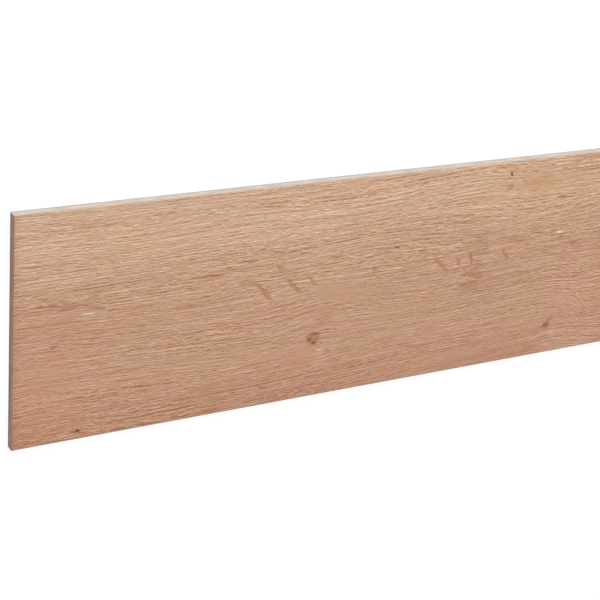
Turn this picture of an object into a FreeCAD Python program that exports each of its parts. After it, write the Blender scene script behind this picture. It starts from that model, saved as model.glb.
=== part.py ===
"""Stair riser board: one flat fibreboard blank with a printed oak decor face.

Millimetres. The board lies on its back with the decor face up. X runs along its length, Y along its
height on the stair and Z through its thickness. The origin is the middle of the back face.
"""

import FreeCAD, Part
import Sketcher
import os

# Driving dimensions of the board: cell alias, value and what it measures.
SIZES = (
    ("board_length", 1300.0, "stock length, cut to the stair's width on site"),
    ("board_height", 200.0, "height of the rise that the board covers"),
    ("board_thickness", 8.0, "fibreboard core with its papers"),
    ("arris_bevel", 0.5, "leg of the 45 degree bevel round the decor face"),
)
PARTS_FOLDER = "parts"


def make_sizes_sheet(doc):
    """The spreadsheet of driving dimensions, one row each: words, then the number under its alias."""
    sheet = doc.addObject("Spreadsheet::Sheet", "sizes")
    for row, (alias, value, words) in enumerate(SIZES, start=1):
        sheet.set(f"A{row}", words)
        sheet.set(f"B{row}", str(value))
        sheet.setAlias(f"B{row}", alias)
    doc.recompute()
    return sheet


def origin_plane(body, role):
    """The body's own origin plane with that role, such as XY_Plane."""
    return next(plane for plane in body.Origin.OriginFeatures if plane.Role == role)


def sketch_outline(body, sheet):
    """The board's outline on the floor plane: a rectangle centred on the origin."""
    sketch = body.newObject("Sketcher::SketchObject", "outline")
    sketch.AttachmentSupport = (origin_plane(body, "XY_Plane"), "")
    sketch.MapMode = "FlatFace"

    half_length = sheet.board_length / 2
    half_height = sheet.board_height / 2
    corners = [
        FreeCAD.Vector(-half_length, -half_height, 0),
        FreeCAD.Vector(half_length, -half_height, 0),
        FreeCAD.Vector(half_length, half_height, 0),
        FreeCAD.Vector(-half_length, half_height, 0),
    ]
    for start, end in zip(corners, corners[1:] + corners[:1]):
        sketch.addGeometry(Part.LineSegment(start, end), False)

    lower, right, upper, left = range(len(corners))
    start_point, end_point = 1, 2
    origin_point = (-1, 1)
    for side, following in ((lower, right), (right, upper), (upper, left), (left, lower)):
        sketch.addConstraint(Sketcher.Constraint("Coincident", side, end_point, following, start_point))
    for side in (lower, upper):
        sketch.addConstraint(Sketcher.Constraint("Horizontal", side))
    for side in (right, left):
        sketch.addConstraint(Sketcher.Constraint("Vertical", side))
    sketch.addConstraint(
        Sketcher.Constraint("Symmetric", lower, start_point, upper, start_point, *origin_point)
    )
    for kind, side, alias in (
        ("DistanceX", lower, "board_length"),
        ("DistanceY", right, "board_height"),
    ):
        size = Sketcher.Constraint(kind, side, start_point, side, end_point, sheet.get(alias))
        sketch.renameConstraint(sketch.addConstraint(size), alias)
        sketch.setExpression(f"Constraints.{alias}", f"{sheet.Name}.{alias}")
    return sketch


def pad_board(body, sheet, outline):
    """The square-cut blank, from the back face on the floor up to the decor face."""
    pad = body.newObject("PartDesign::Pad", "blank")
    pad.Profile = outline
    pad.setExpression("Length", f"{sheet.Name}.board_thickness")
    body.Document.recompute()
    return pad


def decor_face_edges(pad):
    """Names of the edges round the blank's top face, which carries the decor."""
    top = pad.Shape.BoundBox.ZMax
    return [
        f"Edge{number}"
        for number, edge in enumerate(pad.Shape.Edges, start=1)
        if abs(edge.BoundBox.ZMin - top) < Part.Precision.confusion()
    ]


def bevel_decor_arrises(body, sheet, pad):
    """The small bevel that breaks the sharp arris all round the decor face."""
    bevel = body.newObject("PartDesign::Chamfer", "decor_bevel")
    bevel.Base = (pad, decor_face_edges(pad))
    bevel.setExpression("Size", f"{sheet.Name}.arris_bevel")
    body.Document.recompute()
    return bevel


def make_riser_board(doc, sheet):
    """The whole board, one body."""
    body = doc.addObject("PartDesign::Body", "riser_board")
    body.Label = "riser_board"
    outline = sketch_outline(body, sheet)
    pad = pad_board(body, sheet, outline)
    body.Tip = bevel_decor_arrises(body, sheet, pad)
    doc.recompute()
    return body


def check(doc, sub_parts):
    """Stops the build if any object failed to compute or a sub-part isn't one sound solid."""
    for thing in doc.Objects:
        if {"Invalid", "Error"} & set(thing.State):
            raise RuntimeError(f"{thing.Label} failed: {thing.State}")
    for sub_part in sub_parts:
        shape = sub_part.Shape
        if shape.isNull() or not shape.isValid() or len(shape.Solids) != 1:
            raise RuntimeError(f"{sub_part.Label} is not one sound solid")


def main():
    doc = FreeCAD.newDocument("stair_riser_board")
    sheet = make_sizes_sheet(doc)
    sub_parts = [make_riser_board(doc, sheet)]
    check(doc, sub_parts)

    os.makedirs(PARTS_FOLDER, exist_ok=True)
    for sub_part in sub_parts:
        sub_part.Shape.exportStep(os.path.join(PARTS_FOLDER, f"{sub_part.Label}.step"))
        box = sub_part.Shape.BoundBox
        print(sub_part.Label, box.XLength, box.YLength, box.ZLength, sub_part.Shape.Volume)


main()
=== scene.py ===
"""The stair riser board with its finish: an embossed oak decor face, a fibreboard core and a paper back.

Metres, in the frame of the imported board. The decor is drawn in millimetres, along the board from its left
end and across it from the middle of its height.
"""

from math import cos, radians, sin
from typing import NamedTuple

import bpy
import numpy as np
from mathutils import Matrix, Vector


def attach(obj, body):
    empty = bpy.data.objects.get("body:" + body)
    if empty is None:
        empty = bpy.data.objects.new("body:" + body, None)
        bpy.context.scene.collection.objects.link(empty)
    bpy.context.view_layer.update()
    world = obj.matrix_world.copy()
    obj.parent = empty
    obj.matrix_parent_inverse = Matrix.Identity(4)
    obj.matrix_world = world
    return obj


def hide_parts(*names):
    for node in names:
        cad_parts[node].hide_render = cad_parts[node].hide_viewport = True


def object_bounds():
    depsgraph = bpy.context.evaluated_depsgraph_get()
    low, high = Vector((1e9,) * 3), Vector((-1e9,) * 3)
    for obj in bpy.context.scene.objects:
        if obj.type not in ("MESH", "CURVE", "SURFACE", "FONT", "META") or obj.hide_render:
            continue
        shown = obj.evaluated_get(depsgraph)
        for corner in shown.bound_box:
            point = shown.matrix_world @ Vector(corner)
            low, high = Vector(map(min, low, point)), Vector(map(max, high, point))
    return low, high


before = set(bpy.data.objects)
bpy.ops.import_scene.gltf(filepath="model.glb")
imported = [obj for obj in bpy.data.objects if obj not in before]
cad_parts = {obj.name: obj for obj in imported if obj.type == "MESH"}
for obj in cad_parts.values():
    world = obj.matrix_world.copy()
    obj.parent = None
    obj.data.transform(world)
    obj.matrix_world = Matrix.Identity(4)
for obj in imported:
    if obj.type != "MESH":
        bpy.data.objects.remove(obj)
cad_low, cad_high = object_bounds()

BOARD = "riser_board"
MM = 0.001


def srgb(red, green, blue):
    """A colour as a screen shows it, 0 to 255, as the linear RGBA that a shader takes."""
    shares = [channel / 255 for channel in (red, green, blue)]
    linear = [s / 12.92 if s <= 0.04045 else ((s + 0.055) / 1.055) ** 2.4 for s in shares]
    return (*linear, 1.0)


# Colours of the decor
# The upper oak is paler and the lower darker: partly the oak's own tone and partly painted light, brighter
# towards the upper edge where the light comes from
OAK_HIGH_PAINTED_LIGHT = srgb(206, 168, 140)
OAK_MIDDLE = srgb(192, 150, 122)
OAK_LOW_PAINTED_SHADE = srgb(185, 139, 112)
KNOT_BROWN = srgb(112, 62, 28)
SPOT_BROWN = srgb(150, 100, 64)
FLECK_ORANGE = srgb(196, 141, 97)
FLECK_BROWN = srgb(176, 123, 86)
FLECK_RED = srgb(172, 112, 84)
FLECK_PALE = srgb(222, 194, 166)

# Painted shade along the lower arris, a greyer rim on the decor's lowest millimetre: its colour, where it
# starts and is full, and its share there
ARRIS_SHADE_GREY = srgb(150, 138, 130)
LOWER_ARRIS_SHADE = (-98.2, -99.3)
LOWER_ARRIS_SHADE_SHARE = 0.45

# How far each channel follows a pale streak, a redder and a yellower stretch
STREAK_GAINS = (0.73, 1.0, 1.33)
RED_GAINS = (0.4, -1.0, -0.7)
YELLOW_GAINS = (0.1, 0.2, -1.0)

# Colours of the other surfaces
BACK_PAPER = srgb(182, 150, 120)
BACK_PAPER_DARK = srgb(160, 128, 100)


class Fibreboard(NamedTuple):
    """Colours of a cut through fibreboard: its body, its dark and pale fibres, its skins and their share."""
    body: tuple
    dark: tuple
    pale: tuple
    skin: tuple
    skin_share: float


# The long edges are paler and greyer than the ends: painted light and sheen on the fibreboard, whose plain
# colour the ends keep
PAINTED_SHEEN_EDGE = Fibreboard(
    body=srgb(203, 188, 176),
    dark=srgb(158, 136, 118),
    pale=srgb(216, 206, 196),
    skin=srgb(152, 146, 142),
    skin_share=0.5,
)
SAWN_END = Fibreboard(
    body=srgb(191, 154, 129),
    dark=srgb(146, 106, 79),
    pale=srgb(206, 174, 150),
    skin=srgb(142, 112, 92),
    skin_share=0.3,
)


class Mark(NamedTuple):
    """An elliptical mark of the decor: its middle, half sizes, tilt in degrees and strength up to 1."""
    along: float
    across: float
    half_length: float
    half_width: float
    tilt: float = 0.0
    strength: float = 1.0


class Swell(NamedTuple):
    """A place where the grain rises, or sinks by a rise below 0: its top, its rise and its reaches."""
    along: float
    across: float
    rise: float
    reach_left: float
    reach_right: float
    reach_across: float


class Pattern(NamedTuple):
    """Noise in blotches or strands: their length and width, how far it varies and its seed."""
    length: float
    width: float
    spread: float
    seed: int


# Fibre lines deep enough to be pressed into the face
LINES = (
    Pattern(110, 0.92, 0.8, 1),
    Pattern(22, 0.88, 0.73, 2),
)
# Short dashes printed over the lines
DASHES = (
    Pattern(6.5, 0.85, 0.76, 3),
    Pattern(2, 0.8, 0.55, 14),
)
# How far the grain wanders, and how uneven its strands are in width
GRAIN_WANDER = Pattern(150, 28, 1.2, 4)
STRAND_UNEVENNESS = Pattern(3000, 2.2, 0.3, 10)
# Fine ripples across the fibres, and how far they slant down to the right, in degrees
RIPPLES = Pattern(11, 1.1, 0.11, 19)
RIPPLE_SLANT = 36
# Pores, and the noise at which one starts and is full
PORES = Pattern(6, 0.5, 1, 5)
PORE_LEVELS = (1.3, 2.2)
# Drifts of the oak's colour to redder and to yellower
REDDER = (
    Pattern(60, 11, 0.012, 8),
    Pattern(14, 3.5, 0.010, 15),
)
YELLOWER = (
    Pattern(70, 14, 0.015, 16),
    Pattern(16, 4, 0.013, 17),
)
# Shifts that make the rims of flecks ragged and the ends of smudges feathered
RAGGED_ALONG = Pattern(7, 3, 0.5, 6)
RAGGED_ACROSS = Pattern(9, 2.5, 0.3, 7)
FEATHERED_ENDS = Pattern(60, 4, 5, 18)
# Fibres and blotches of cut fibreboard, and mottle and fibres of the paper
CUT_FIBRES = (
    Pattern(2.2, 0.45, 0.6, 11),
    Pattern(0.7, 0.6, 0.5, 12),
)
CUT_BLOTCHES = Pattern(14, 3, 0.1, 13)
PAPER_MOTTLE = (
    Pattern(9, 7, 0.6, 21),
    Pattern(1.6, 1.1, 0.5, 22),
)
PAPER_FIBRES = Pattern(5, 0.6, 1, 23)

# Where the grain bends, most of it round knots
SWELLS = (
    Swell(-60, -25, 6.5, 50, 260, 100),
    Swell(25, -48, 5.5, 80, 170, 42),
    Swell(52, -90, 3, 25, 30, 12),
    Swell(268, -12, 3, 42, 120, 26),
    Swell(270, -36, 4, 70, 220, 38),
    Swell(268, -32, 2, 30, 30, 14),
    Swell(270, -62, -2.5, 35, 45, 16),
    Swell(415, 0, -5.5, 140, 110, 36),
    Swell(431, -2, 2, 18, 20, 12),
    Swell(350, 44, 3.5, 110, 150, 30),
    Swell(508, 38, -4.5, 150, 150, 30),
    Swell(426, 80, 6.5, 130, 75, 44),
    Swell(480, -100, 15, 330, 350, 75),
    Swell(515, -38, 6.5, 115, 40, 46),
    Swell(536, -84, 7, 50, 58, 34),
    Swell(812, 30, 8, 160, 120, 45),
    Swell(1015, -52, 11, 150, 190, 60),
    Swell(1190, 58, -7, 120, 90, 44),
)

# Stretches of quiet grain and of lively grain
CALM = (
    Mark(330, -32, 60, 42, 0, 0.40),
    Mark(440, -94, 130, 18, 0, 0.35),
    Mark(20, -38, 60, 32, 0, 0.40),
    Mark(30, -70, 44, 16, 0, 0.25),
    Mark(150, -52, 110, 16, 0, 0.28),
    Mark(252, -57, 27, 16, 8, 0.85),
    Mark(274, -28, 30, 16, 0, 0.45),
    Mark(290, 0, 42, 20, -8, 0.75),
    Mark(535, -50, 34, 18, 0, 0.25),
    Mark(90, 80, 130, 36, 0, 0.22),
    Mark(140, 68, 70, 18, 0, 0.30),
    Mark(120, 2, 150, 26, 0, 0.22),
    Mark(450, 28, 44, 16, 0, 0.22),
    Mark(470, 68, 120, 46, 0, 0.28),
    Mark(330, 86, 60, 30, 0, 0.14),
    Mark(760, -60, 130, 40, 0, 0.40),
    Mark(1090, 20, 140, 45, 0, 0.35),
)
LIVELY = (
    Mark(165, -29, 135, 13, 0, 0.50),
    Mark(105, -90, 110, 18, 0, 0.60),
    Mark(240, -92, 90, 14, 0, 0.35),
    Mark(390, 70, 44, 16, 0, 0.30),
    Mark(510, 30, 50, 18, 0, 0.40),
    Mark(500, -20, 100, 40, 0, 0.30),
    Mark(560, -62, 50, 40, 0, 0.30),
    Mark(900, 70, 160, 30, 0, 0.25),
    Mark(1180, -70, 130, 30, 0, 0.35),
)

# Stretches where fine ripples cross the fibres
RIPPLED = (
    Mark(470, 83, 20, 13, 0, 0.90),
    Mark(562, -56, 36, 34, 0, 1.0),
    Mark(848, 12, 26, 22, 0, 0.80),
    Mark(1048, -70, 34, 26, 0, 0.80),
)

# Broad stretches of redder and of yellower oak
RED_STRETCHES = (
    Mark(0, -50, 110, 110, 0, 0.06),
    Mark(252, -57, 27, 16, 6, 0.05),
    Mark(650, -30, 150, 110, 0, 0.04),
    Mark(842, -48, 90, 45, 0, 0.08),
    Mark(1110, -30, 120, 70, 0, 0.08),
)
YELLOW_STRETCHES = (
    Mark(490, 60, 100, 70, 0, 0.04),
    Mark(490, 78, 24, 11, 0, 0.10),
    Mark(565, 85, 70, 50, 0, 0.08),
    Mark(30, -95, 80, 60, 0, 0.045),
    Mark(760, 60, 130, 60, 0, 0.07),
    Mark(1260, 20, 120, 90, 0, 0.07),
)

# Knots and short dark streaks
KNOTS = (
    Mark(268.6, -48.0, 3.2, 2.0, 0, 0.65),
    Mark(263.8, -44.2, 3.4, 2.4, 15, 0.60),
    Mark(268.6, -39.2, 4.8, 2.1, -8, 0.46),
    Mark(522.3, -70.6, 4.2, 2.9, 0, 0.42),
    Mark(454.4, 88.0, 3.2, 1.7, -70, 0.90),
    Mark(456.8, 74.6, 1.8, 1.4, 0, 0.22),
    Mark(55.2, -92.4, 2.3, 2.0, 0, 0.90),
    Mark(52.6, -93.0, 2.8, 1.1, 10, 0.45),
    Mark(33.5, -13.3, 4.8, 1.2, 0, 0.45),
    Mark(157.5, -27.0, 3.8, 1.0, 0, 0.45),
    Mark(342.6, 31.8, 3.8, 1.3, 0, 0.75),
    Mark(167.0, 29.2, 10.0, 1.1, -3, 0.52),
    Mark(282.0, 30.8, 7.0, 0.9, -3, 0.40),
    Mark(144.0, 22.7, 5.0, 0.8, -8, 0.30),
    Mark(181.0, 34.0, 4.6, 0.9, 0, 0.45),
    Mark(195.0, 40.4, 6.0, 0.8, 0, 0.30),
    Mark(200.0, 37.6, 10.5, 1.0, -2, 0.42),
    Mark(226.0, 42.6, 6.0, 0.8, -4, 0.40),
    Mark(249.5, 38.5, 5.0, 0.9, -4, 0.45),
    Mark(272.5, 45.8, 6.0, 0.9, 0, 0.40),
    Mark(70.0, -8.0, 5.2, 1.0, -10, 0.30),
    Mark(216.6, 4.6, 10.0, 0.8, -47, 0.22),
    Mark(370.5, 25.5, 7.5, 0.9, -1, 0.45),
    Mark(390.5, 8.4, 10.0, 0.8, -45, 0.25),
    Mark(410.6, 8.6, 4.6, 1.1, -62, 0.22),
    Mark(424.0, 10.5, 7.8, 1.2, -76, 0.22),
    Mark(491.5, 28.2, 9.0, 1.0, -9, 0.25),
    Mark(516.0, 60.0, 8.5, 1.2, -3, 0.60),
    Mark(478.0, -5.5, 4.6, 0.8, -5, 0.35),
    Mark(283.5, -58.0, 4.4, 1.0, -22, 0.50),
    Mark(266.0, -89.2, 16.0, 1.0, 4, 0.30),
    Mark(222.5, -84.0, 7.5, 1.1, 2, 0.35),
    Mark(314.0, 2.3, 1.6, 1.4, 0, 0.40),
    Mark(87.0, -88.8, 3.8, 0.9, 0, 0.40),
    Mark(107.5, -84.0, 4.2, 0.9, -10, 0.35),
    Mark(812.0, 21.0, 3.0, 2.4, 0, 0.60),
    Mark(1014.5, -63.0, 2.8, 3.2, 0, 0.60),
    Mark(1188.0, 70.0, 0.9, 2.4, 15, 0.95),
    Mark(905.0, -18.0, 4.0, 1.0, 0, 0.45),
)
# Brown spots, round knots and alone
SPOTS = (
    Mark(267.5, -43.0, 9.5, 8.5, 0, 0.68),
    Mark(523.0, -70.0, 7.0, 5.5, 0, 0.66),
    Mark(527.0, -65.5, 8.0, 4.2, 55, 0.46),
    Mark(322.0, 13.3, 3.6, 3.0, 0, 0.48),
    Mark(523.0, 20.0, 3.6, 2.4, 0, 0.72),
    Mark(539.0, 12.3, 6.0, 2.4, 0, 0.50),
    Mark(148.5, 4.0, 7.5, 3.2, 0, 0.22),
    Mark(811.0, 22.0, 8.0, 7.0, 0, 0.60),
    Mark(1016.0, -62.0, 7.5, 7.0, 0, 0.60),
    Mark(702.0, 8.0, 4.5, 2.4, 0, 0.45),
    Mark(1120.0, 12.0, 4.0, 2.6, 0, 0.45),
)
# Broad brown smudges with ends that feather along the fibres
SMUDGES = (
    Mark(275, -26, 10, 13, 0, 0.28),
    Mark(431, -9, 11, 19, 0, 0.42),
    Mark(431, 22, 13, 22, 0, 0.32),
    Mark(488, 77, 20, 12, 0, 0.20),
    Mark(510, 92, 70, 24, 0, 0.10),
    Mark(570, 98, 70, 40, 0, 0.18),
    Mark(380, 50, 80, 16, 0, 0.10),
    Mark(645, -8, 92, 150, 8, 0.22),
    Mark(752, 44, 12, 26, 0, 0.20),
    Mark(868, -8, 10, 18, 0, 0.26),
    Mark(985, 20, 14, 34, 0, 0.18),
    Mark(1120, -40, 90, 36, 0, 0.10),
    Mark(1236, 62, 80, 30, 0, 0.12),
)
# Ray flecks by colour, and pale marks under them
ORANGES = (
    Mark(168.5, 27.0, 10.5, 2.9, -3, 0.85),
    Mark(139.5, 21.8, 5.2, 1.8, -6, 0.80),
    Mark(147.5, 19.7, 5.6, 1.9, -18, 0.50),
    Mark(181.0, 32.7, 5.0, 1.6, 0, 0.70),
    Mark(201.0, 16.6, 10.0, 2.1, -6, 0.45),
    Mark(207.0, 33.8, 16.0, 2.4, -2, 0.35),
    Mark(284.0, 29.0, 10.5, 2.1, -3, 0.85),
    Mark(295.0, 27.6, 5.0, 1.7, -20, 0.55),
    Mark(337.5, 32.0, 8.0, 1.8, -5, 0.80),
    Mark(372.5, 22.4, 10.5, 2.7, -16, 0.74),
    Mark(418.2, 18.2, 4.6, 2.8, -45, 0.80),
    Mark(472.0, 22.6, 11.0, 1.7, -2, 0.50),
    Mark(493.0, 29.8, 12.0, 1.6, -12, 0.48),
    Mark(458.5, 92.5, 4.0, 2.6, 0, 0.60),
    Mark(454.5, 76.4, 5.6, 3.4, 25, 0.55),
    Mark(61.0, -94.4, 5.5, 1.7, 0, 0.60),
    Mark(188.5, -93.0, 5.5, 1.7, 0, 0.45),
    Mark(378.0, -93.5, 16.0, 2.0, 0, 0.40),
    Mark(490.0, 78.0, 17.0, 6.5, 0, 0.25),
    Mark(618.0, 24.0, 9.0, 2.4, -12, 0.65),
    Mark(668.0, 20.0, 8.0, 2.3, -6, 0.65),
    Mark(690.0, 32.0, 10.0, 2.4, -10, 0.60),
    Mark(880.0, 30.0, 12.0, 2.4, 4, 0.60),
    Mark(965.0, 26.0, 9.0, 2.4, 10, 0.65),
    Mark(1080.0, 27.0, 10.0, 2.5, -8, 0.70),
    Mark(1228.0, 16.0, 12.0, 2.3, -8, 0.60),
)
BROWNS = (
    Mark(155.5, 28.7, 8.5, 1.8, -8, 0.70),
    Mark(171.0, 27.4, 9.0, 2.2, -3, 0.30),
    Mark(147.5, 19.7, 5.6, 1.9, -18, 0.60),
    Mark(200.5, 16.8, 10.0, 2.1, -6, 0.40),
    Mark(210.5, 13.2, 6.2, 2.4, -36, 0.75),
    Mark(217.5, 5.6, 12.5, 2.8, -47, 0.76),
    Mark(229.0, 27.7, 6.4, 3.0, -42, 0.74),
    Mark(243.5, 9.2, 14.5, 2.7, -43, 0.92),
    Mark(260.0, 12.2, 8.6, 2.2, -58, 0.70),
    Mark(265.5, 6.9, 4.4, 1.8, -10, 0.70),
    Mark(267.0, 25.0, 8.5, 1.8, -38, 0.35),
    Mark(391.8, 9.2, 15.0, 2.5, -44, 0.80),
    Mark(410.5, 8.8, 5.8, 1.8, -62, 0.50),
    Mark(423.5, 11.0, 9.5, 2.2, -76, 0.85),
    Mark(458.8, 13.6, 4.2, 2.2, -72, 0.90),
    Mark(462.5, 8.4, 6.4, 2.1, -46, 0.90),
    Mark(484.0, 18.2, 6.0, 1.8, -42, 0.30),
    Mark(641.0, 11.0, 12.0, 2.2, -40, 0.75),
    Mark(734.0, 9.0, 11.0, 2.1, -48, 0.75),
    Mark(758.0, 14.0, 10.0, 2.1, -42, 0.65),
    Mark(931.0, 18.0, 11.0, 2.3, 38, 0.70),
    Mark(1052.0, 14.0, 12.0, 2.3, -36, 0.75),
    Mark(1146.0, 21.0, 10.0, 2.3, -30, 0.65),
    Mark(1252.0, 6.0, 10.0, 2.1, -44, 0.70),
)
REDS = (
    Mark(33.5, 21.4, 9.5, 2.8, -26, 0.54),
    Mark(46.0, 19.0, 9.0, 3.1, 2, 0.66),
    Mark(61.5, 17.0, 9.5, 3.0, -14, 0.46),
    Mark(71.0, 14.5, 6.0, 2.5, -12, 0.45),
    Mark(21.5, 23.0, 2.6, 3.4, 0, 0.45),
    Mark(148.0, 4.5, 8.0, 3.2, 0, 0.30),
    Mark(199.0, 36.6, 9.0, 1.7, -2, 0.50),
    Mark(237.0, 40.3, 18.0, 1.4, -6, 0.28),
    Mark(302.0, 52.0, 12.0, 5.5, 0, 0.15),
    Mark(454.8, 75.8, 5.0, 3.2, 25, 0.50),
    Mark(475.0, 22.0, 13.0, 2.4, -3, 0.22),
    Mark(51.0, -93.0, 5.0, 1.9, 0, 0.60),
    Mark(61.0, -94.4, 5.5, 1.7, 0, 0.40),
    Mark(174.0, 42.0, 14.0, 7.0, 0, 0.10),
    Mark(301.0, -94.0, 6.0, 1.7, 0, 0.40),
)
PALES = (
    Mark(60.5, 10.7, 9.0, 2.2, 0, 0.60),
    Mark(295.5, 29.2, 2.6, 1.3, -10, 0.90),
    Mark(445.5, 92.0, 5.6, 1.8, 0, 0.60),
    Mark(458.0, 68.0, 6.0, 1.7, 0, 0.60),
    Mark(276.5, -64.0, 9.0, 11.0, 0, 0.14),
    Mark(274.5, -55.4, 6.5, 1.0, -2, 0.45),
    Mark(286.0, -70.6, 8.0, 1.0, 0, 0.35),
    Mark(521.0, 25.5, 4.8, 1.9, 0, 1.0),
    Mark(532.0, -79.0, 8.0, 9.0, 0, 0.20),
    Mark(560.0, -90.0, 60.0, 18.0, 0, 0.20),
    Mark(240.0, 70.0, 60.0, 22.0, 0, 0.18),
    Mark(270.0, 20.0, 210.0, 30.0, 0, 0.13),
    Mark(539.0, -36.0, 6.0, 0.9, -20, 0.50),
    Mark(512.0, -82.0, 9.0, 0.9, 24, 0.50),
    Mark(67.0, -88.5, 8.0, 1.0, -22, 0.32),
    Mark(72.0, -92.5, 8.0, 1.0, -14, 0.28),
    Mark(105.5, -88.8, 9.0, 1.0, 0, 0.40),
    Mark(207.0, 33.6, 15.0, 2.2, -2, 0.25),
    Mark(1182.0, 60.0, 7.0, 1.8, 0, 0.50),
)

# Depth of the pressed grain, and of what the bump alone carries, in millimetres
LINE_DEPTH = 0.07
DASH_DEPTH = 0.02
MARK_DEPTH = 0.06
PORE_DEPTH = 0.03
CUT_FIBRE_DEPTH = 0.05
PAPER_MOTTLE_DEPTH = 0.012
PAPER_FIBRE_DEPTH = 0.008
# Share of the depth that the face is pressed in on average, and how much less at a pale line
EVEN_PRESS = 0.5
LINE_RISE = 0.2
# Heights closer than this are one level
LEVEL_TOLERANCE = 0.01 * MM

# The grain leans a little along the board, and is tighter towards the lower edge, from a height
GRAIN_LEAN = 0.016
EVEN_GRAIN_HEIGHT = 95
GRAIN_TIGHTENING = 0.00085

# Steps from one strand of the grain to the next: along the noise and across it, in its own blotches
STRAND_SHIFT = 0.618
STRAND_LEAP = 17.31
# Share of the next strand's shade that a strand is set off against
NEXT_STRAND = 0.6

# Change of brightness at a typical streak, at a pore and, as a limit, at the darkest streak
LINE_CONTRAST = 0.149
DASH_CONTRAST = 0.158
PORE_CONTRAST = 0.06
DARKEST_STREAK = -0.46
# Share of the streaks that a fleck and the ripples take away
FLECK_CALM = 0.7
RIPPLE_CALM = 0.4

# Heights between which the middle oak turns into the upper, paler one and into the lower, darker one: a
# gradient that is partly the oak's own tone and partly painted light and shade
TO_OAK_PAINTED_LIGHT = (10, 75)
TO_OAK_PAINTED_SHADE = (-45, -100)

# How far out a mark, a fleck and a broad stretch are full, as a share of their half sizes
MARK_EDGE = 0.45
FLECK_EDGE = 0.5
STRETCH_EDGE = 0
# Share of its own colour that a mark has at full strength
SPOT_SHARE = 0.8
PALE_SHARE = 0.7
FLECK_SHARE = 0.85

# Lacquer of the decor, smoother on pale lines and rougher on flecks
LACQUER_ROUGHNESS = 0.55
LINE_GLOSS = 0.03
FLECK_DULLNESS = 0.05
LACQUER_SPECULAR = 0.3

# Cut fibreboard: its share of dark fibres, how far the dark and the pale ones vary, and its finish
DARK_FIBRE_SHARE = 0.25
DARK_FIBRE_SPREAD = 0.2
PALE_FIBRE_SPREAD = 0.16
CUT_ROUGHNESS = 0.85
CUT_SPECULAR = 0.2
# Its skins: the heights from mid-thickness where each starts and is full, and the back's extra share
FACE_SKIN = (2.2, 4.2)
BACK_SKIN = (-1.0, -3.6)
BACK_SKIN_GAIN = 1.3

# Paper of the back: its share of the dark colour, how far mottle and fibres vary that, and its finish
PAPER_DARK_SHARE = 0.35
PAPER_MOTTLE_SPREAD = 0.2
PAPER_FIBRE_SPREAD = 0.08
PAPER_ROUGHNESS = 0.7
PAPER_DULLNESS = 0.04
PAPER_SPECULAR = 0.25

# Faces along and across the decor face, and the fewer of the back
COLUMNS, ROWS = 208, 444
BACK_COLUMNS, BACK_ROWS = 13, 4

# Camera at the photograph's viewing angle
CAMERA_PLACE = Vector((-0.99115, 0.52188, 0.97882))
CAMERA_AIM = Vector((-0.39916, -0.00494, 0.00769))
CAMERA_UP = Vector((0.1319, 0.9028, -0.4095))
CAMERA_LENS_MM = 89.6
SENSOR_MM = 36.0

# Light: a broad sun from beyond the upper edge, and an even sky
SUN_FROM = Vector((0.25, 0.80, 0.62))
SUN_STRENGTH = 3.0
SUN_ANGLE = radians(40)
SKY_STRENGTH = 0.4
FLOOR_SIZE = 30.0
FLOOR_COLOUR = (0.9, 0.9, 0.9, 1.0)
FLOOR_GLOW_SHARE = 0.88
FLOOR_GLOW = 1.04


# Node trees written as sums and products of fields


class Field:
    """A value that varies over a surface: an output socket of a node tree, with arithmetic."""

    def __init__(self, tree, socket):
        self.tree = tree
        self.socket = socket

    def __add__(self, other):
        return maths("ADD", self, other)

    def __sub__(self, other):
        return maths("SUBTRACT", self, other)

    def __rsub__(self, other):
        return maths("SUBTRACT", other, self)

    def __mul__(self, other):
        return maths("MULTIPLY", self, other)

    def __truediv__(self, other):
        return maths("DIVIDE", self, other)

    __radd__ = __add__
    __rmul__ = __mul__


def feed(socket, value):
    """Links a field to a socket, or sets the socket to a plain value."""
    if isinstance(value, Field):
        value.tree.links.new(value.socket, socket)
    else:
        socket.default_value = value


def maths(operation, *values):
    """A field worked out from fields and numbers."""
    tree = next(value.tree for value in values if isinstance(value, Field))
    node = tree.nodes.new("ShaderNodeMath")
    node.operation = operation
    for socket, value in zip(node.inputs, values):
        feed(socket, value)
    return Field(tree, node.outputs["Value"])


def vector_maths(operation, *values, result="Vector"):
    """A vector or colour field worked out from fields and plain vectors."""
    tree = next(value.tree for value in values if isinstance(value, Field))
    node = tree.nodes.new("ShaderNodeVectorMath")
    node.operation = operation
    for socket, value in zip(node.inputs, values):
        feed(socket, value)
    return Field(tree, node.outputs[result])


def smooth(value, start, end):
    """0 before start and 1 past end, with a smooth step between. start may lie above end."""
    node = value.tree.nodes.new("ShaderNodeMapRange")
    node.interpolation_type = "SMOOTHSTEP"
    feed(node.inputs["Value"], value)
    node.inputs["From Min"].default_value = start
    node.inputs["From Max"].default_value = end
    return Field(value.tree, node.outputs["Result"])


def clamp(value):
    """A field held between 0 and 1."""
    node = value.tree.nodes.new("ShaderNodeClamp")
    feed(node.inputs["Value"], value)
    return Field(value.tree, node.outputs["Result"])


def mix(share, first, second):
    """A colour field: first where the share is 0, second where it is 1."""
    node = share.tree.nodes.new("ShaderNodeMix")
    node.data_type = "RGBA"
    colours = [socket for socket in node.inputs if socket.type == "RGBA"]
    feed(node.inputs["Factor"], share)
    feed(colours[0], first)
    feed(colours[1], second)
    result = next(socket for socket in node.outputs if socket.type == "RGBA")
    return Field(share.tree, result)


def tinted(colour, amount, gains):
    """A colour with each channel raised by its gain's share of the amount."""
    factors = vector_maths("MULTIPLY_ADD", amount, gains, (1, 1, 1))
    return vector_maths("MULTIPLY", colour, factors)


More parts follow.
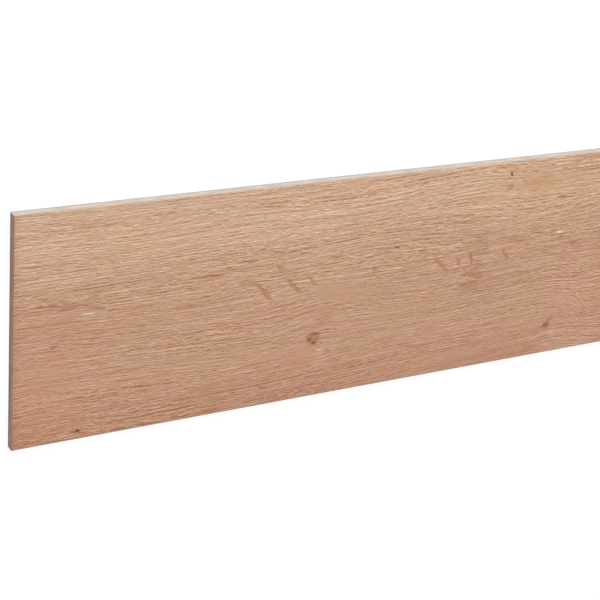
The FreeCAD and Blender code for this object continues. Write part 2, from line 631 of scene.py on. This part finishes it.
class Place:
    """A point of a surface in millimetres: along the board and across it."""

    def __init__(self, along, across):
        self.along = along
        self.across = across
        node = along.tree.nodes.new("ShaderNodeCombineXYZ")
        feed(node.inputs["X"], along)
        feed(node.inputs["Y"], across)
        self.vector = Field(along.tree, node.outputs["Vector"])


# The noise node's own middle and spread, and the step from one seed to the next
NOISE_MIDDLE = 0.5
NOISE_SPREAD = 0.16
SEED_STEP = 37.7


def noise(place, pattern):
    """The pattern's noise, which varies about 0."""
    spot = Place(
        maths("MULTIPLY_ADD", place.along, 1 / pattern.length, SEED_STEP * pattern.seed),
        maths("MULTIPLY_ADD", place.across, 1 / pattern.width, SEED_STEP * pattern.seed),
    )
    node = place.along.tree.nodes.new("ShaderNodeTexNoise")
    node.noise_dimensions = "2D"
    node.inputs["Scale"].default_value = 1.0
    node.inputs["Detail"].default_value = 0.0
    feed(node.inputs["Vector"], spot.vector)
    value = Field(place.along.tree, node.outputs[0])
    return (value - NOISE_MIDDLE) * (pattern.spread / NOISE_SPREAD)


def drift(place, patterns):
    """The sum of some patterns of noise."""
    return sum(noise(place, pattern) for pattern in patterns)


def inside(place, mark, edge):
    """The mark's strength inside it, fading to 0 at its rim from that share of the way out."""
    away = vector_maths("SUBTRACT", place.vector, (mark.along, mark.across, 0))
    if mark.tilt:
        turn = away.tree.nodes.new("ShaderNodeVectorRotate")
        turn.rotation_type = "Z_AXIS"
        turn.inputs["Angle"].default_value = radians(-mark.tilt)
        feed(turn.inputs["Vector"], away)
        away = Field(away.tree, turn.outputs["Vector"])
    shares = vector_maths("DIVIDE", away, (mark.half_length, mark.half_width, 1))
    return smooth(vector_maths("LENGTH", shares, result="Value"), 1, edge) * mark.strength


def covered(place, marks, edge=MARK_EDGE):
    """How far each point is covered by any of the marks, at most 1."""
    total = inside(place, marks[0], edge)
    for mark in marks[1:]:
        total = total + inside(place, mark, edge)
    return maths("MINIMUM", total, 1.0)


# The grain, the same for the relief and the colours


def decor_place(vector):
    """The place on the decor face of a position in metres."""
    node = vector.tree.nodes.new("ShaderNodeSeparateXYZ")
    feed(node.inputs["Vector"], vector)
    x = Field(vector.tree, node.outputs["X"])
    y = Field(vector.tree, node.outputs["Y"])
    return Place((x - cad_low.x) / MM, y / MM)


def lifted(place, swell):
    """How far a swell lifts the grain: a smooth hill with its own reach each way."""
    offset = place.along - swell.along
    lengthwise = maths("MAXIMUM", offset / swell.reach_right, offset / -swell.reach_left)
    crosswise = (place.across - swell.across) / swell.reach_across
    distance = maths("SQRT", lengthwise * lengthwise + crosswise * crosswise)
    return smooth(distance, 1, 0) * swell.rise


def along_grain(place):
    """The place in coordinates that follow the fibres over the swells."""
    below = place.across - EVEN_GRAIN_HEIGHT
    level = place.across - GRAIN_LEAN * place.along - GRAIN_TIGHTENING * below * below
    across = level + noise(place, GRAIN_WANDER)
    for swell in SWELLS:
        across = across - lifted(place, swell)
    return Place(place.along, across)


def strand(grain, layer, number):
    """The shade along one strand of a layer. Each strand is a line of the noise far from its neighbours'."""
    along = grain.along + number * (STRAND_SHIFT * layer.length)
    return noise(Place(along, number * (STRAND_LEAP * layer.width)), layer)


def layered(grain, layers):
    """The sum of some layers of straight strands, each set off against the next one."""
    uneven = grain.across + noise(grain, STRAND_UNEVENNESS)
    total = 0
    for layer in layers:
        number = maths("FLOOR", uneven / layer.width)
        contrast = strand(grain, layer, number) - NEXT_STRAND * strand(grain, layer, number + 1)
        total = total + contrast
    return total


def ripples(place):
    """Fine slanting ripples across the fibres."""
    slant = radians(RIPPLE_SLANT)
    along = cos(slant) * place.along - sin(slant) * place.across
    across = sin(slant) * place.along + cos(slant) * place.across
    return noise(Place(along, across), RIPPLES)


def liveliness(place):
    """How strong the grain is: 1, more in the lively stretches and less in the calm ones."""
    more = covered(place, LIVELY, STRETCH_EDGE)
    less = covered(place, CALM, STRETCH_EDGE)
    return (1 + more) * (1 - less)


# Materials


def new_material(name):
    """A new material, its node tree and its Principled shader."""
    material = bpy.data.materials.new(name)
    material.use_nodes = True
    shader = next(n for n in material.node_tree.nodes if n.type == "BSDF_PRINCIPLED")
    return material, material.node_tree, shader


def object_position(tree):
    """The position in the object's own metres."""
    return Field(tree, tree.nodes.new("ShaderNodeTexCoord").outputs["Object"])


def bump(tree, shader, height_mm):
    """Makes a height in millimetres tilt the shader's surface."""
    node = tree.nodes.new("ShaderNodeBump")
    node.inputs["Distance"].default_value = MM
    feed(node.inputs["Height"], height_mm)
    feed(shader.inputs["Normal"], Field(tree, node.outputs["Normal"]))


def oak_tones(place, grain):
    """The oak's colour, partly its own tone and partly painted light: paler towards the upper edge and
    darker towards the lower, with redder and yellower stretches.
    """
    # Painted light and shade: paler towards the upper edge, darker towards the lower
    colour = mix(smooth(place.across, *TO_OAK_PAINTED_LIGHT), OAK_MIDDLE, OAK_HIGH_PAINTED_LIGHT)
    colour = mix(smooth(place.across, *TO_OAK_PAINTED_SHADE), colour, OAK_LOW_PAINTED_SHADE)
    redder = covered(place, RED_STRETCHES, STRETCH_EDGE) + drift(grain, REDDER)
    yellower = covered(place, YELLOW_STRETCHES, STRETCH_EDGE) + drift(grain, YELLOWER)
    return tinted(tinted(colour, redder, RED_GAINS), yellower, YELLOW_GAINS)


def marked_oak(place, grain):
    """The oak's colour with smudges, flecks and spots over it, and how far flecks cover it."""
    feathered = Place(place.along + noise(grain, FEATHERED_ENDS), place.across)
    ragged = Place(place.along + noise(place, RAGGED_ALONG), place.across + noise(place, RAGGED_ACROSS))
    reds = covered(ragged, REDS, FLECK_EDGE)
    oranges = covered(ragged, ORANGES, FLECK_EDGE)
    browns = covered(ragged, BROWNS, FLECK_EDGE)
    flecks = maths("MAXIMUM", maths("MAXIMUM", oranges, browns), reds)

    colour = oak_tones(place, grain)
    colour = mix(covered(feathered, SMUDGES) * SPOT_SHARE, colour, SPOT_BROWN)
    colour = mix(covered(ragged, PALES) * PALE_SHARE, colour, FLECK_PALE)
    colour = mix(reds * FLECK_SHARE, colour, FLECK_RED)
    colour = mix(oranges * FLECK_SHARE, colour, FLECK_ORANGE)
    colour = mix(browns * FLECK_SHARE, colour, FLECK_BROWN)
    colour = mix(covered(ragged, SPOTS) * SPOT_SHARE, colour, SPOT_BROWN)
    return colour, flecks


def oak_decor():
    """Printed oak: broad tones, ray flecks, fibre streaks and knots, with a matt embossed lacquer."""
    material, tree, shader = new_material("oak_decor")
    place = decor_place(object_position(tree))
    grain = along_grain(place)
    life = liveliness(place)
    lines = layered(grain, LINES) * life
    dashes = layered(grain, DASHES) * life
    pores = smooth(noise(grain, PORES), *PORE_LEVELS)
    rippled = covered(place, RIPPLED, STRETCH_EDGE)
    knots = covered(place, KNOTS)

    colour, flecks = marked_oak(place, grain)
    streak = LINE_CONTRAST * lines + DASH_CONTRAST * dashes - PORE_CONTRAST * pores
    streak = streak * (1 - FLECK_CALM * flecks) * (1 - RIPPLE_CALM * rippled) + rippled * ripples(place)
    colour = tinted(colour, maths("MAXIMUM", streak, DARKEST_STREAK), STREAK_GAINS)
    colour = mix(knots, colour, KNOT_BROWN)
    # A greyer rim along the lower edge: painted shade of the lower arris
    colour = mix(smooth(place.across, *LOWER_ARRIS_SHADE) * LOWER_ARRIS_SHADE_SHARE, colour, ARRIS_SHADE_GREY)
    feed(shader.inputs["Base Color"], colour)

    feed(shader.inputs["Roughness"], LACQUER_ROUGHNESS - LINE_GLOSS * lines + FLECK_DULLNESS * flecks)
    shader.inputs["Specular IOR Level"].default_value = LACQUER_SPECULAR
    bump(tree, shader, DASH_DEPTH * dashes - MARK_DEPTH * (flecks + knots) - PORE_DEPTH * pores)
    return material


def cut_fibreboard(name, tones):
    """Cut fibreboard: fine matted fibres, denser and darker towards the two faces, most at the back."""
    material, tree, shader = new_material(name)
    place_node = tree.nodes.new("ShaderNodeSeparateXYZ")
    feed(place_node.inputs["Vector"], object_position(tree))
    x, y, z = (Field(tree, place_node.outputs[axis]) for axis in "XYZ")
    girth = Place((x + y) / MM, z / MM)
    fibres = drift(girth, CUT_FIBRES)
    height = (z - (cad_low.z + cad_high.z) / 2) / MM
    skin = smooth(height, *FACE_SKIN) + BACK_SKIN_GAIN * smooth(height, *BACK_SKIN)

    darker = DARK_FIBRE_SHARE + DARK_FIBRE_SPREAD * fibres + noise(girth, CUT_BLOTCHES)
    colour = mix(clamp(darker), tones.body, tones.dark)
    colour = mix(clamp(PALE_FIBRE_SPREAD * fibres), colour, tones.pale)
    colour = mix(skin * tones.skin_share, colour, tones.skin)
    feed(shader.inputs["Base Color"], colour)
    shader.inputs["Roughness"].default_value = CUT_ROUGHNESS
    shader.inputs["Specular IOR Level"].default_value = CUT_SPECULAR
    bump(tree, shader, CUT_FIBRE_DEPTH * fibres)
    return material


def backing_paper():
    """Brown balancing paper on the back, faintly mottled."""
    material, tree, shader = new_material("backing_paper")
    place = decor_place(object_position(tree))
    mottle = drift(place, PAPER_MOTTLE)
    fibres = noise(place, PAPER_FIBRES)
    darker = PAPER_DARK_SHARE + PAPER_MOTTLE_SPREAD * mottle + PAPER_FIBRE_SPREAD * fibres
    feed(shader.inputs["Base Color"], mix(clamp(darker), BACK_PAPER, BACK_PAPER_DARK))
    feed(shader.inputs["Roughness"], PAPER_ROUGHNESS + PAPER_DULLNESS * mottle)
    shader.inputs["Specular IOR Level"].default_value = PAPER_SPECULAR
    bump(tree, shader, PAPER_MOTTLE_DEPTH * mottle + PAPER_FIBRE_DEPTH * fibres)
    return material


# The board's mesh


class Strip(NamedTuple):
    """A rectangle of the texture square."""
    left: float
    bottom: float
    width: float
    height: float


class Patch(NamedTuple):
    """Faces that share a material and a strip of the texture, which runs along one axis and rises on one."""
    faces: list
    run: int
    rise: int
    strip: Strip
    material: int
    smooth: bool = False


X, Y, Z = range(3)
DECOR, EDGE, END, BACKING = range(4)

# Where the patches lie in the texture square
WIDE = 0.99
MARGIN = 0.005
DECOR_STRIPS = (Strip(MARGIN, 0.610, WIDE, 0.385), Strip(MARGIN, 0.215, WIDE, 0.385))
BACK_STRIP = Strip(MARGIN, 0.105, WIDE, 0.100)
LOWER_STRIP = Strip(MARGIN, 0.075, WIDE, 0.020)
UPPER_STRIP = Strip(MARGIN, 0.045, WIDE, 0.020)
RIGHT_STRIP = Strip(MARGIN, 0.015, 0.48, 0.020)
LEFT_STRIP = Strip(0.515, 0.015, 0.48, 0.020)


def bevel_leg():
    """The bevel's leg, from the height of the vertices next below the decor face."""
    heights = [vertex.co.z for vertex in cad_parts[BOARD].data.vertices]
    return cad_high.z - max(height for height in heights if cad_high.z - height > LEVEL_TOLERANCE)


def level_grid(xs, ys, z):
    """Points of a level grid, column by column."""
    return np.array([(x, y, z) for x in xs for y in ys])


def grid_faces(columns, rows):
    """Quads of such a grid, anticlockwise from above, as one list for each column."""
    number = np.arange((columns + 1) * (rows + 1)).reshape(columns + 1, rows + 1)
    corners = (number[:-1, :-1], number[1:, :-1], number[1:, 1:], number[:-1, 1:])
    return np.stack(corners, axis=-1)


def border(columns, rows):
    """Numbers of the outer points of such a grid, anticlockwise, and its first point again."""
    number = np.arange((columns + 1) * (rows + 1)).reshape(columns + 1, rows + 1)
    sides = (number[:-1, 0], number[-1, :-1], number[:0:-1, -1], number[0, :0:-1], number[0, :1])
    return np.concatenate(sides)


def four_sides(ring, columns, rows):
    """A border cut at its corners: lower edge, right end, upper edge and left end."""
    corners = np.cumsum([0, columns, rows, columns, rows])
    return [ring[start:end + 1].tolist() for start, end in zip(corners, corners[1:])]


def side_faces(edge, shoulder, foot):
    """One side: the bevel's quads, then triangles from its shoulder down to the coarser foot."""
    faces = [
        (edge[n], shoulder[n], shoulder[n + 1], edge[n + 1]) for n in range(len(edge) - 1)
    ]
    stride = (len(shoulder) - 1) // (len(foot) - 1)
    half = stride // 2
    for number, (near, far) in enumerate(zip(foot, foot[1:])):
        run = shoulder[number * stride:(number + 1) * stride + 1]
        faces += [(a, near, b) for a, b in zip(run[:half], run[1:half + 1])]
        faces.append((run[half], near, far))
        faces += [(a, far, b) for a, b in zip(run[half:], run[half + 1:])]
    return faces


def board_points(bevel):
    """Points of the decor face, of the bevel's shoulder and of the back, and how many the first two are."""
    xs = np.linspace(cad_low.x + bevel, cad_high.x - bevel, COLUMNS + 1)
    ys = np.linspace(cad_low.y + bevel, cad_high.y - bevel, ROWS + 1)
    face = level_grid(xs, ys, cad_high.z)
    xs[0], xs[-1] = cad_low.x, cad_high.x
    ys[0], ys[-1] = cad_low.y, cad_high.y
    shoulder = level_grid(xs, ys, cad_high.z - bevel)[border(COLUMNS, ROWS)[:-1]]
    back = level_grid(xs[::COLUMNS // BACK_COLUMNS], ys[::ROWS // BACK_ROWS], cad_low.z)
    return np.concatenate([face, shoulder, back]), len(face), len(shoulder)


def board_patches(face_count, shoulder_count):
    """The board's faces: the decor face in two strips, the four sides and the back."""
    decor = grid_faces(COLUMNS, ROWS)
    halves = (decor[:COLUMNS // 2], decor[COLUMNS // 2:])
    patches = [
        Patch(half.reshape(-1, 4).tolist(), X, Y, strip, DECOR, smooth=True)
        for half, strip in zip(halves, DECOR_STRIPS)
    ]

    back_start = face_count + shoulder_count
    shoulder_ring = np.append(np.arange(shoulder_count), 0) + face_count
    rings = zip(
        four_sides(border(COLUMNS, ROWS), COLUMNS, ROWS),
        four_sides(shoulder_ring, COLUMNS, ROWS),
        four_sides(border(BACK_COLUMNS, BACK_ROWS) + back_start, BACK_COLUMNS, BACK_ROWS),
        (X, Y, X, Y),
        (LOWER_STRIP, RIGHT_STRIP, UPPER_STRIP, LEFT_STRIP),
        (EDGE, END, EDGE, END),
    )
    for edge, shoulder, foot, run, strip, material in rings:
        patches.append(Patch(side_faces(edge, shoulder, foot), run, Z, strip, material))

    back = grid_faces(BACK_COLUMNS, BACK_ROWS).reshape(-1, 4)[:, ::-1] + back_start
    patches.append(Patch(back.tolist(), X, Y, BACK_STRIP, BACKING))
    return patches


def texture_places(points, patch):
    """Where a patch's face corners lie in the texture square."""
    corners = points[np.concatenate([np.array(face) for face in patch.faces])]
    flat = corners[:, (patch.run, patch.rise)]
    shares = (flat - flat.min(axis=0)) / np.ptp(flat, axis=0)
    strip = patch.strip
    return shares * (strip.width, strip.height) + (strip.left, strip.bottom)


def make_board():
    """The board as one closed mesh, flat and with its materials."""
    points, face_count, shoulder_count = board_points(bevel_leg())
    patches = board_patches(face_count, shoulder_count)
    mesh = bpy.data.meshes.new("oak_riser_board")
    mesh.from_pydata(points.tolist(), [], [face for patch in patches for face in patch.faces])
    mesh.polygons.foreach_set("material_index", [p.material for p in patches for _ in p.faces])
    mesh.polygons.foreach_set("use_smooth", [p.smooth for p in patches for _ in p.faces])
    texture = mesh.uv_layers.new(name="OFBake")
    places = np.concatenate([texture_places(points, patch) for patch in patches])
    texture.data.foreach_set("uv", places.ravel())
    mesh.materials.append(oak_decor())
    # The long edges' fibreboard, paler with painted light and sheen
    mesh.materials.append(cut_fibreboard("painted_sheen_edge", PAINTED_SHEEN_EDGE))
    mesh.materials.append(cut_fibreboard("sawn_end", SAWN_END))
    mesh.materials.append(backing_paper())
    mesh.update()
    board = bpy.data.objects.new("oak_riser_board", mesh)
    bpy.context.scene.collection.objects.link(board)
    return board


def relief_tree():
    """Geometry nodes that press the fibre lines into the decor face."""
    tree = bpy.data.node_groups.new("pressed_grain", "GeometryNodeTree")
    for in_out in ("INPUT", "OUTPUT"):
        tree.interface.new_socket("Geometry", in_out=in_out, socket_type="NodeSocketGeometry")
    position = Field(tree, tree.nodes.new("GeometryNodeInputPosition").outputs["Position"])
    place = decor_place(position)
    lines = layered(along_grain(place), LINES) * liveliness(place)
    sunk = clamp(EVEN_PRESS - LINE_RISE * lines) * (LINE_DEPTH * MM)

    node = tree.nodes.new("ShaderNodeSeparateXYZ")
    feed(node.inputs["Vector"], position)
    on_face = maths("GREATER_THAN", Field(tree, node.outputs["Z"]), cad_high.z - LEVEL_TOLERANCE)
    offset = tree.nodes.new("ShaderNodeCombineXYZ")
    feed(offset.inputs["Z"], -1 * sunk * on_face)
    press = tree.nodes.new("GeometryNodeSetPosition")
    feed(press.inputs["Offset"], Field(tree, offset.outputs["Vector"]))
    tree.links.new(tree.nodes.new("NodeGroupInput").outputs["Geometry"], press.inputs["Geometry"])
    tree.links.new(press.outputs["Geometry"], tree.nodes.new("NodeGroupOutput").inputs["Geometry"])
    return tree


def press_grain(board):
    """Applies the relief to the board's mesh."""
    modifier = board.modifiers.new("pressed_grain", "NODES")
    modifier.node_group = relief_tree()
    shaped = board.evaluated_get(bpy.context.evaluated_depsgraph_get())
    flat = board.data
    board.data = bpy.data.meshes.new_from_object(shaped)
    board.modifiers.clear()
    bpy.data.meshes.remove(flat)


# Stage, light and camera


def seen_directly(tree):
    """1 for what the camera sees, in reflections and through glass too, and 0 for light on surfaces."""
    rays = tree.nodes.new("ShaderNodeLightPath").outputs
    kinds = [Field(tree, rays[f"Is {kind} Ray"]) for kind in ("Camera", "Glossy", "Transmission")]
    return maths("MAXIMUM", maths("MAXIMUM", kinds[0], kinds[1]), kinds[2])


def make_sky():
    """An even sky that is white to the camera and dimmer as a light."""
    world = bpy.data.worlds.new("studio")
    world.use_nodes = True
    bpy.context.scene.world = world
    tree = world.node_tree
    background = next(n for n in tree.nodes if n.type == "BACKGROUND")
    background.inputs["Color"].default_value = (1, 1, 1, 1)
    strength = maths("MULTIPLY_ADD", seen_directly(tree), 1 - SKY_STRENGTH, SKY_STRENGTH)
    feed(background.inputs["Strength"], strength)


def make_floor():
    """A pale floor under the board, near white to the camera, which keeps the board's soft shadow."""
    material, tree, shader = new_material("pale_floor")
    shader.inputs["Base Color"].default_value = FLOOR_COLOUR
    shader.inputs["Roughness"].default_value = 1.0
    shader.inputs["Specular IOR Level"].default_value = 0.0
    glow = tree.nodes.new("ShaderNodeEmission")
    glow.inputs["Strength"].default_value = FLOOR_GLOW
    blend = tree.nodes.new("ShaderNodeMixShader")
    feed(blend.inputs["Fac"], seen_directly(tree) * FLOOR_GLOW_SHARE)
    tree.links.new(shader.outputs["BSDF"], blend.inputs[1])
    tree.links.new(glow.outputs["Emission"], blend.inputs[2])
    output = next(n for n in tree.nodes if n.type == "OUTPUT_MATERIAL")
    tree.links.new(blend.outputs["Shader"], output.inputs["Surface"])

    half = FLOOR_SIZE / 2
    outline = ((-half, -half), (half, -half), (half, half), (-half, half))
    mesh = bpy.data.meshes.new("floor")
    mesh.from_pydata([(x, y, cad_low.z) for x, y in outline], [], [(0, 1, 2, 3)])
    mesh.materials.append(material)
    floor = bpy.data.objects.new("floor", mesh)
    bpy.context.scene.collection.objects.link(floor)


def make_sun():
    """One broad lamp from beyond the board's upper edge."""
    light = bpy.data.lights.new("sun", "SUN")
    light.energy = SUN_STRENGTH
    light.angle = SUN_ANGLE
    sun = bpy.data.objects.new("sun", light)
    sun.rotation_euler = SUN_FROM.to_track_quat("Z", "Y").to_euler()
    bpy.context.scene.collection.objects.link(sun)


def make_camera():
    """The camera, with the photograph's lens, place and tilt."""
    lens = bpy.data.cameras.new("camera")
    lens.lens = CAMERA_LENS_MM
    lens.sensor_width = SENSOR_MM
    camera = bpy.data.objects.new("camera", lens)
    back = (CAMERA_PLACE - CAMERA_AIM).normalized()
    right = CAMERA_UP.cross(back).normalized()
    axes = Matrix((right, back.cross(right), back)).transposed()
    camera.matrix_world = Matrix.Translation(CAMERA_PLACE) @ axes.to_4x4()
    bpy.context.scene.collection.objects.link(camera)
    bpy.context.scene.camera = camera


bpy.context.scene.view_settings.view_transform = "Standard"
make_sky()
make_sun()
make_floor()
make_camera()

board = make_board()
press_grain(board)
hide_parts(BOARD)
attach(board, "root")
